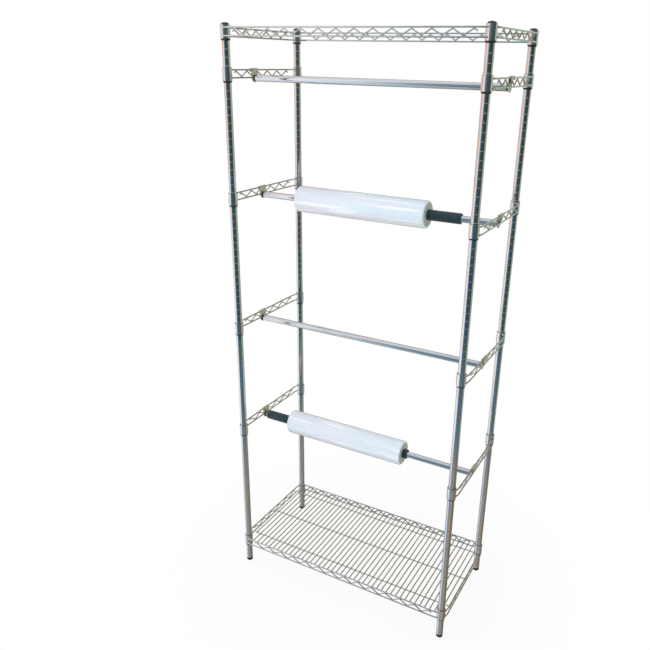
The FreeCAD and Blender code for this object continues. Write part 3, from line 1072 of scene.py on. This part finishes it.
@dataclass
class Hanger:
    """Two strap brackets hooked over a pair of rails, with the black stubs that the rod turns on."""

    number: int
    sheet: float = 0.0025
    hook_radius: float = 0.0029
    hook_steps: int = 10
    lip: float = 0.00638
    edge: float = 0.0004
    tip: float = 0.003
    tip_steps: int = 12
    flange_radius: float = 0.0106
    flange_length: float = 0.006
    spigot_radius: float = 0.0089
    spigot_length: float = 0.012
    bevel: float = 0.0006

    def build(self) -> None:
        """Make the brackets and the stubs."""
        for side in (Side.LEFT, Side.RIGHT):
            self._bracket(f"bracket_{self.number}_{side.label}", side)
        self._stubs()

    def _bracket(self, node: str, side: Side) -> None:
        """A bent strap with a half-round lower end.

        Args:
            node: The frame's node.
            side: The side that the bracket hangs on.
        """
        low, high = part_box(node)
        width = (high.y - low.y) / 2
        bend = self.hook_radius + self.sheet / 2
        outer = self.hook_radius + self.sheet
        wire_x = high.x - outer if side is Side.RIGHT else low.x + outer
        wire = Vector((wire_x, (low.y + high.y) / 2, high.z - outer))
        inward, up = side.inward, Axis.Z.along
        stations: list[tuple[Vector, Vector, float]] = []
        for angle in spaced(0.0, QUARTER, self.tip_steps):
            drop = width * math.cos(angle)
            half = max(width * math.sin(angle), self.tip)
            stations.append((Vector((wire.x, wire.y, low.z + width - drop)) + inward * bend, inward, half))
        for angle in spaced(0.0, math.pi, self.hook_steps):
            out = inward * math.cos(angle) + up * math.sin(angle)
            stations.append((wire + out * bend, out, width))
        stations.append((stations[-1][0] - up * self.lip, -inward, width))
        shape = Shape()
        shape.skin([self._section(*station) for station in stations])
        shape.stand_for(node)

    def _section(self, centre: Vector, out: Vector, half: float) -> list[Vector]:
        """The strap's cut at one place, with bevelled corners.

        Args:
            centre: The middle of the cut.
            out: The direction that the strap's outer face looks in.
            half: Half the strap's width.

        Returns:
            The cut's eight points.
        """
        thick, edge = self.sheet / 2, self.edge
        across = Axis.Y.along
        cut = [(half, thick - edge), (half - edge, thick), (edge - half, thick), (-half, thick - edge),
               (-half, edge - thick), (edge - half, -thick), (half - edge, -thick), (half, edge - thick)]
        return [centre + across * a + out * b for a, b in cut]

    def _stubs(self) -> None:
        """A flange against each bracket and a spigot inside each end of the rod."""
        node = f"rod_stubs_{self.number}"
        low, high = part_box(node)
        line = middle(f"rod_{self.number}")
        spigot, bevel = self.spigot_radius, self.bevel
        end = self.flange_length + self.spigot_length
        profile = [(TIP_RADIUS, 0.0), *softened(self.flange_radius, 0.0, self.flange_length, bevel)]
        profile += [(spigot, self.flange_length), (spigot, end)]
        profile += [(spigot - bevel, end + bevel), (TIP_RADIUS, end + bevel)]
        shape = Shape()
        for start, sign in ((low.x, 1), (high.x, -1)):
            shape.turned([(r, sign * h) for r, h in profile], Vector((start, line.y, line.z)), Axis.X)
        shape.stand_for(node)


@dataclass
class Rod:
    """A chrome tube that turns on the stubs."""

    number: int
    sides: int = 48
    wall: float = 0.0015
    edge: float = 0.0005

    def build(self) -> None:
        """Make the rod."""
        node = f"rod_{self.number}"
        low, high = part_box(node)
        centre = middle(node)
        radius = (high.z - low.z) / 2
        inner = radius - self.wall
        profile = [*softened(radius, low.x, high.x, self.edge), (inner, high.x), (inner, low.x)]
        shape = Shape()
        shape.turned(profile, Vector((0.0, centre.y, centre.z)), Axis.X, self.sides, hollow=True)
        shape.stand_for(node)


@dataclass
class FilmRoll:
    """A roll of film on its black core."""

    number: int
    core_bore: float = 0.0117
    core_edge: float = 0.0006
    core_sides: int = 56
    rim: float = 0.006
    rim_steps: int = 6
    stations: int = 72
    sides: int = 96
    layers: int = 18
    creep: float = 0.0006
    creep_scale: float = 900.0
    slack: float = 0.0007
    slack_middle: float = 0.5
    wave: Triple = (9.0, 1.6, 0.4)
    wave_offset: float = 5.0
    ripple: Triple = (30.0, 4.0, 0.2)
    edge_colours: tuple[Colour, Colour] = ((0.34, 0.38, 0.31), (0.50, 0.54, 0.47))
    edge_roughness: float = 0.42

    def build(self) -> None:
        """Make the core and the winding."""
        self._core()
        self._film()

    def _core(self) -> None:
        """A plain tube with softened edges."""
        node = f"roll_core_{self.number}"
        low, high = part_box(node)
        centre = middle(node)
        profile = [*softened((high.z - low.z) / 2, low.x, high.x, self.core_edge),
                   *softened(self.core_bore, high.x, low.x, -self.core_edge)]
        shape = Shape()
        shape.turned(profile, Vector((0.0, centre.y, centre.z)), Axis.X, self.core_sides, hollow=True)
        shape.stand_for(node)

    def _angles(self) -> list[float]:
        """The angles of a ring's points."""
        return spaced(0.0, math.tau, self.sides)[:-1]

    def _ring(self, x: float, centre: Vector, sizes: Sequence[float]) -> list[Vector]:
        """A ring of the winding with a radius of its own at each angle."""
        return [Vector((x, centre.y + size * math.cos(a), centre.z + size * math.sin(a)))
                for a, size in zip(self._angles(), sizes)]

    def _sizes(self, x: float, radius: float) -> list[float]:
        """Radii of the slack winding, all round one place along it.

        Args:
            x: The place along the roll.
            radius: The radius where the winding is tight.

        Returns:
            A radius for each angle of a ring.
        """
        wave_along, wave_round, wave_share = self.wave
        ripple_along, ripple_round, ripple_share = self.ripple
        sizes = []
        for a in self._angles():
            c, s = math.cos(a), math.sin(a)
            wave = Vector((x * wave_along + self.number * self.wave_offset, wave_round * c, wave_round * s))
            ripple = Vector((x * ripple_along, ripple_round * c, ripple_round * s + self.number))
            dip = self.slack_middle + wave_share * noise.noise(wave) + ripple_share * noise.noise(ripple)
            sizes.append(radius - self.slack * min(max(dip, 0.0), 1.0))
        return sizes

    def _film(self) -> None:
        """A winding that is a little slack along its length, with ends of uneven layers."""
        node = f"film_roll_{self.number}"
        low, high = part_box(node)
        centre = middle(node)
        radius = (high.z - low.z) / 2
        core_low, core_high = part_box(f"roll_core_{self.number}")
        layers = spaced(radius - self.rim - self.slack, (core_high.z - core_low.z) / 2, self.layers)[1:]
        places = spaced(low.x + self.rim, high.x - self.rim, self.stations)
        shape = Shape()
        shape.skin([self._ring(x, centre, self._sizes(x, radius)) for x in places], ends=OPEN_ENDS)
        bore = []
        for edge, outward in ((places[0], -1.0), (places[-1], 1.0)):
            sizes = self._sizes(edge, radius)
            rim = []
            for bend in spaced(0.0, QUARTER, self.rim_steps):
                inset = self.rim * (1 - math.cos(bend))
                x = edge + outward * self.rim * math.sin(bend)
                rim.append(self._ring(x, centre, [size - inset for size in sizes]))
            shape.skin(rim, ends=OPEN_ENDS)
            face = [rim[-1]]
            for layer in layers:
                uneven = noise.noise(Vector((layer * self.creep_scale, self.number, outward)))
                step = self.creep * (1 + uneven) / 2
                face.append(self._ring(edge + outward * (self.rim - step), centre, [layer] * self.sides))
            shape.skin(face, finish=1, ends=OPEN_ENDS)
            bore.append(face[-1])
        shape.skin(bore, finish=1, ends=OPEN_ENDS)
        edges = FilmEdges(f"film edges {self.number}", *self.edge_colours, self.edge_roughness,
                          centre.y, centre.z)
        shape.stand_for(node, [FINISHES[Slot.FILM], edges])


@dataclass(frozen=True)
class Patch:
    """A patch of one colour in the mirrored room, and where it fades in and out along each bearing."""

    colour: Colour
    turn: Fade = (None, None)
    height: Fade = (None, None)
    rightward: Fade = (None, None)
    rearward: Fade = (None, None)
    strength: float = 1.0

    def mask(self, sheet: ShaderSheet, bearings: Sequence[Value]) -> Operand:
        """How strongly the patch shows.

        Args:
            sheet: The world's node tree.
            bearings: Turn, height, X and Y of the mirrored ray.

        Returns:
            A factor from 0 to 1.
        """
        mask: Operand = self.strength
        for bearing, fade in zip(bearings, (self.turn, self.height, self.rightward, self.rearward)):
            if fade[0]:
                mask = mask * sheet.between(*fade[0], bearing)
            if fade[1]:
                mask = mask * (1.0 - sheet.between(*fade[1], bearing))
        return mask


@dataclass(frozen=True)
class Room:
    """The room that the chrome mirrors: colours by the turn from the rear by the left, front and right."""

    ceiling: Stops = (
        (0.00, (0.16, 0.155, 0.12)), (0.05, (0.18, 0.17, 0.14)), (0.10, (0.80, 0.79, 0.84)),
        (0.25, (0.74, 0.74, 0.82)), (0.39, (0.60, 0.61, 0.70)), (0.44, (0.50, 0.54, 0.58)),
        (0.65, (0.54, 0.56, 0.62)), (0.85, (0.26, 0.26, 0.22)), (0.93, (0.16, 0.155, 0.12)),
    )
    walls: Stops = (
        (0.00, (0.42, 0.54, 0.44)), (0.05, (0.40, 0.44, 0.34)), (0.08, (0.40, 0.27, 0.16)),
        (0.15, (0.32, 0.215, 0.13)), (0.19, (0.76, 0.72, 0.69)), (0.25, (0.80, 0.755, 0.72)),
        (0.315, (0.78, 0.71, 0.66)), (0.375, (0.80, 0.77, 0.74)), (0.40, (1.00, 1.00, 1.00)),
        (0.425, (0.62, 0.72, 0.77)), (0.44, (0.36, 0.46, 0.52)), (0.46, (0.20, 0.28, 0.31)),
        (0.50, (0.11, 0.16, 0.175)), (0.56, (0.038, 0.061, 0.065)), (0.745, (0.030, 0.054, 0.050)),
        (0.79, (0.14, 0.16, 0.12)), (0.82, (0.61, 0.58, 0.48)), (0.86, (0.51, 0.48, 0.38)),
        (0.90, (0.34, 0.31, 0.22)), (0.95, (0.42, 0.54, 0.44)),
    )
    low_walls: Stops = (
        (0.00, (0.34, 0.39, 0.34)), (0.06, (0.28, 0.30, 0.25)), (0.09, (0.14, 0.125, 0.095)),
        (0.15, (0.16, 0.14, 0.11)), (0.19, (0.80, 0.75, 0.73)), (0.25, (0.93, 0.85, 0.83)),
        (0.32, (0.97, 0.97, 0.98)), (0.406, (0.92, 0.96, 1.00)), (0.436, (0.08, 0.18, 0.34)),
        (0.48, (0.05, 0.11, 0.18)), (0.54, (0.040, 0.076, 0.092)), (0.74, (0.040, 0.072, 0.076)),
        (0.785, (0.18, 0.20, 0.16)), (0.82, (0.55, 0.52, 0.43)), (0.90, (0.29, 0.275, 0.21)),
        (0.95, (0.41, 0.49, 0.43)),
    )
    ground: Stops = (
        (0.00, (0.20, 0.20, 0.16)), (0.07, (0.12, 0.11, 0.07)), (0.12, (0.40, 0.27, 0.14)),
        (0.17, (0.46, 0.36, 0.28)), (0.22, (0.50, 0.52, 0.60)), (0.30, (0.67, 0.77, 0.97)),
        (0.375, (0.66, 0.76, 0.92)), (0.394, (0.58, 0.68, 0.76)), (0.409, (0.38, 0.48, 0.56)),
        (0.421, (0.18, 0.27, 0.38)), (0.44, (0.12, 0.18, 0.28)), (0.47, (0.34, 0.32, 0.28)),
        (0.54, (0.39, 0.325, 0.25)), (0.66, (0.335, 0.275, 0.21)), (0.74, (0.22, 0.165, 0.12)),
        (0.93, (0.14, 0.12, 0.085)), (0.955, (0.40, 0.49, 0.45)),
    )
    ground_line: Band = (-0.55, -0.46)
    wall_line: Band = (-0.22, -0.08)
    ceiling_line: Band = (0.62, 0.86)
    sill: Patch = Patch((0.80, 0.84, 0.88), ((0.20, 0.26), (0.46, 0.50)), (None, (-0.84, -0.74)))
    mat: Patch = Patch((0.24, 0.27, 0.23), height=(None, (-0.89, -0.80)))
    skirting: Patch = Patch((0.10, 0.20, 0.26), ((0.42, 0.47), (0.70, 0.76)),
                            ((-0.56, -0.49), (-0.43, -0.34)), strength=0.7)
    glow: Patch = Patch((0.95, 0.38, 0.22), ((0.25, 0.275), (0.315, 0.34)), ((-0.40, -0.12), (0.02, 0.10)))
    rafters: Patch = Patch((0.080, 0.058, 0.034), height=((0.32, 0.58), None),
                           rightward=((-0.35, -0.10), None), rearward=((0.2, 0.6), None))
    shade: Patch = Patch((0.10, 0.155, 0.17), ((0.418, 0.440), (0.60, 0.70)), ((0.02, 0.12), (0.30, 0.50)))
    frieze: Patch = Patch((0.34, 0.30, 0.25), ((0.46, 0.50), (0.74, 0.80)), ((0.36, 0.48), None))

    def colour(self, sheet: ShaderSheet) -> Value:
        """The room's colour in the direction of a mirrored ray.

        Args:
            sheet: The world's node tree.

        Returns:
            The colour.
        """
        way = sheet.node("ShaderNodeTexCoord", output="Generated")
        x, y, z = (sheet.node("ShaderNodeSeparateXYZ", None, {0: way}, i) for i in range(3))
        turn = sheet.node("ShaderNodeMath", {"operation": "ARCTAN2"}, {0: x, 1: 0.0 - y}) / math.tau + 0.5
        ceiling, walls, low_walls, ground = (
            sheet.node("ShaderNodeValToRGB", {"stops": stops}, {0: turn})
            for stops in (self.ceiling, self.walls, self.low_walls, self.ground)
        )
        upper = sheet.blend(sheet.between(*self.wall_line, z), low_walls, walls)
        room = sheet.blend(sheet.between(*self.ground_line, z), ground, upper)
        for patch in (self.sill, self.mat, self.skirting, self.glow, self.rafters, self.shade, self.frieze):
            room = sheet.blend(patch.mask(sheet, (turn, z, x, y)), room, patch.colour)
        return sheet.blend(sheet.between(*self.ceiling_line, z), room, ceiling)


@dataclass
class Studio:
    """The floor, the soft light, the room that the chrome mirrors, and the camera."""

    white: Colour = (1.0, 1.0, 1.0)
    floor_size: float = 80.0
    floor_colour: Colour = (0.90, 0.90, 0.89)
    shadow_share: float = 0.12
    shadow_reach: Band = (0.5, 1.1)
    soft_light: float = 0.80
    lamp_target: Triple = (0.0, 0.0, 1.1)
    focal_pixels: float = 687.9
    frame_pixels: float = 650.0
    sensor: float = 36.0
    principal: Band = (355.2, 340.1)
    camera_place: Triple = (1.0655, -2.1355, 2.0167)
    camera_angles: Triple = (27.750, 22.234, 1.228)

    def build(self) -> None:
        """Make the stage."""
        scene = bpy.context.scene
        scene.view_settings.view_transform = "Standard"
        self._world(scene)
        self._floor(scene)
        self._lamp(scene, "window lamp", place=(-2.6, -2.4, 2.6), size=1.8, power=48.0,
                   colour=(0.95, 0.98, 1.0))
        self._lamp(scene, "fill lamp", place=(2.8, -1.6, 2.9), size=2.2, power=20.0,
                   colour=(1.0, 0.98, 0.95))
        self._camera(scene)

    def _world(self, scene: bpy.types.Scene) -> None:
        """White behind the rack, even soft light, and a plain room for mirrors only.

        Args:
            scene: The scene to light.
        """
        world = bpy.data.worlds.new("studio")
        scene.world = world
        world.use_nodes = True
        sheet = ShaderSheet(world.node_tree)
        plain = sheet.blend(sheet.ray("Camera"), (self.soft_light,) * 3, self.white)
        colour = sheet.blend(sheet.ray("Glossy"), plain, Room().colour(sheet))
        background = sheet.node("ShaderNodeBackground", None, {"Color": colour, "Strength": 1.0})
        sheet.node("ShaderNodeOutputWorld", None, {"Surface": background})

    def _floor(self, scene: bpy.types.Scene) -> None:
        """A pale floor that reads white to the camera and keeps a faint shadow.

        Args:
            scene: The scene that the floor goes into.
        """
        half = self.floor_size / 2
        outline = [(-half, -half, 0.0), (half, -half, 0.0), (half, half, 0.0), (-half, half, 0.0)]
        mesh = bpy.data.meshes.new("floor")
        mesh.from_pydata(outline, [], [(0, 1, 2, 3)])
        material = bpy.data.materials.new("floor paint")
        material.use_nodes = True
        sheet = ShaderSheet(material.node_tree)
        matt = sheet.node("ShaderNodeBsdfDiffuse", None, {"Color": (*self.floor_colour, 1.0)})
        white = sheet.node("ShaderNodeEmission", None, {"Color": (*self.white, 1.0), "Strength": 1.0})
        away = sheet.length(sheet.place())
        share = (1.0 - sheet.between(*self.shadow_reach, away)) * self.shadow_share
        seen = sheet.node("ShaderNodeMixShader", None, {0: share, 1: white, 2: matt})
        surface = sheet.node("ShaderNodeMixShader", None, {0: sheet.ray("Camera"), 1: matt, 2: seen})
        sheet.node("ShaderNodeOutputMaterial", None, {"Surface": surface})
        mesh.materials.append(material)
        floor = bpy.data.objects.new("floor", mesh)
        floor.visible_glossy = False
        scene.collection.objects.link(floor)

    def _lamp(self, scene: bpy.types.Scene, name: str, place: Triple, size: float, power: float,
              colour: Colour) -> None:
        """A square soft lamp aimed at the rack's middle.

        Args:
            scene: The scene that the lamp goes into.
            name: The lamp's name.
            place: Where it stands.
            size: The length of its side.
            power: Its power in watts.
            colour: The colour of its light.
        """
        lamp = bpy.data.lights.new(name, "AREA")
        lamp.shape = "SQUARE"
        lamp.size = size
        lamp.energy = power
        lamp.color = colour
        stand = bpy.data.objects.new(name, lamp)
        stand.visible_glossy = False
        aim = Vector(self.lamp_target) - Vector(place)
        stand.location = place
        stand.rotation_euler = aim.to_track_quat("-Z", "Y").to_euler()
        scene.collection.objects.link(stand)

    def _camera(self, scene: bpy.types.Scene) -> None:
        """The photograph's own viewpoint.

        Args:
            scene: The scene that the camera looks at.
        """
        yaw, pitch, roll = (math.radians(angle) for angle in self.camera_angles)
        flat = math.cos(pitch)
        ahead = Vector((-math.sin(yaw) * flat, math.cos(yaw) * flat, -math.sin(pitch)))
        level = Vector((math.cos(yaw), math.sin(yaw), 0.0))
        up = level.cross(ahead)
        right = level * math.cos(roll) + up * math.sin(roll)
        top = up * math.cos(roll) - level * math.sin(roll)
        lens = bpy.data.cameras.new("photo camera")
        lens.sensor_width = self.sensor
        lens.lens = self.focal_pixels / self.frame_pixels * self.sensor
        lens.shift_x = (self.frame_pixels / 2 - self.principal[0]) / self.frame_pixels
        lens.shift_y = (self.principal[1] - self.frame_pixels / 2) / self.frame_pixels
        camera = bpy.data.objects.new("photo camera", lens)
        turned = Matrix((right, top, -ahead)).transposed().to_4x4()
        camera.matrix_world = Matrix.Translation(self.camera_place) @ turned
        scene.collection.objects.link(camera)
        scene.camera = camera


def main() -> None:
    """Build the rack, dress it and set the stage."""
    logging.basicConfig(level=logging.INFO, format="%(message)s")
    Posts().build()
    Sleeves().build()
    Shelf().build()
    OpenFrame().build()
    for number in RAIL_LEVELS:
        SideRail(number=number).build()
        Hanger(number).build()
        Rod(number).build()
    for number in ROLL_LEVELS:
        FilmRoll(number).build()
    Studio().build()


if __name__ == "__main__":
    main()
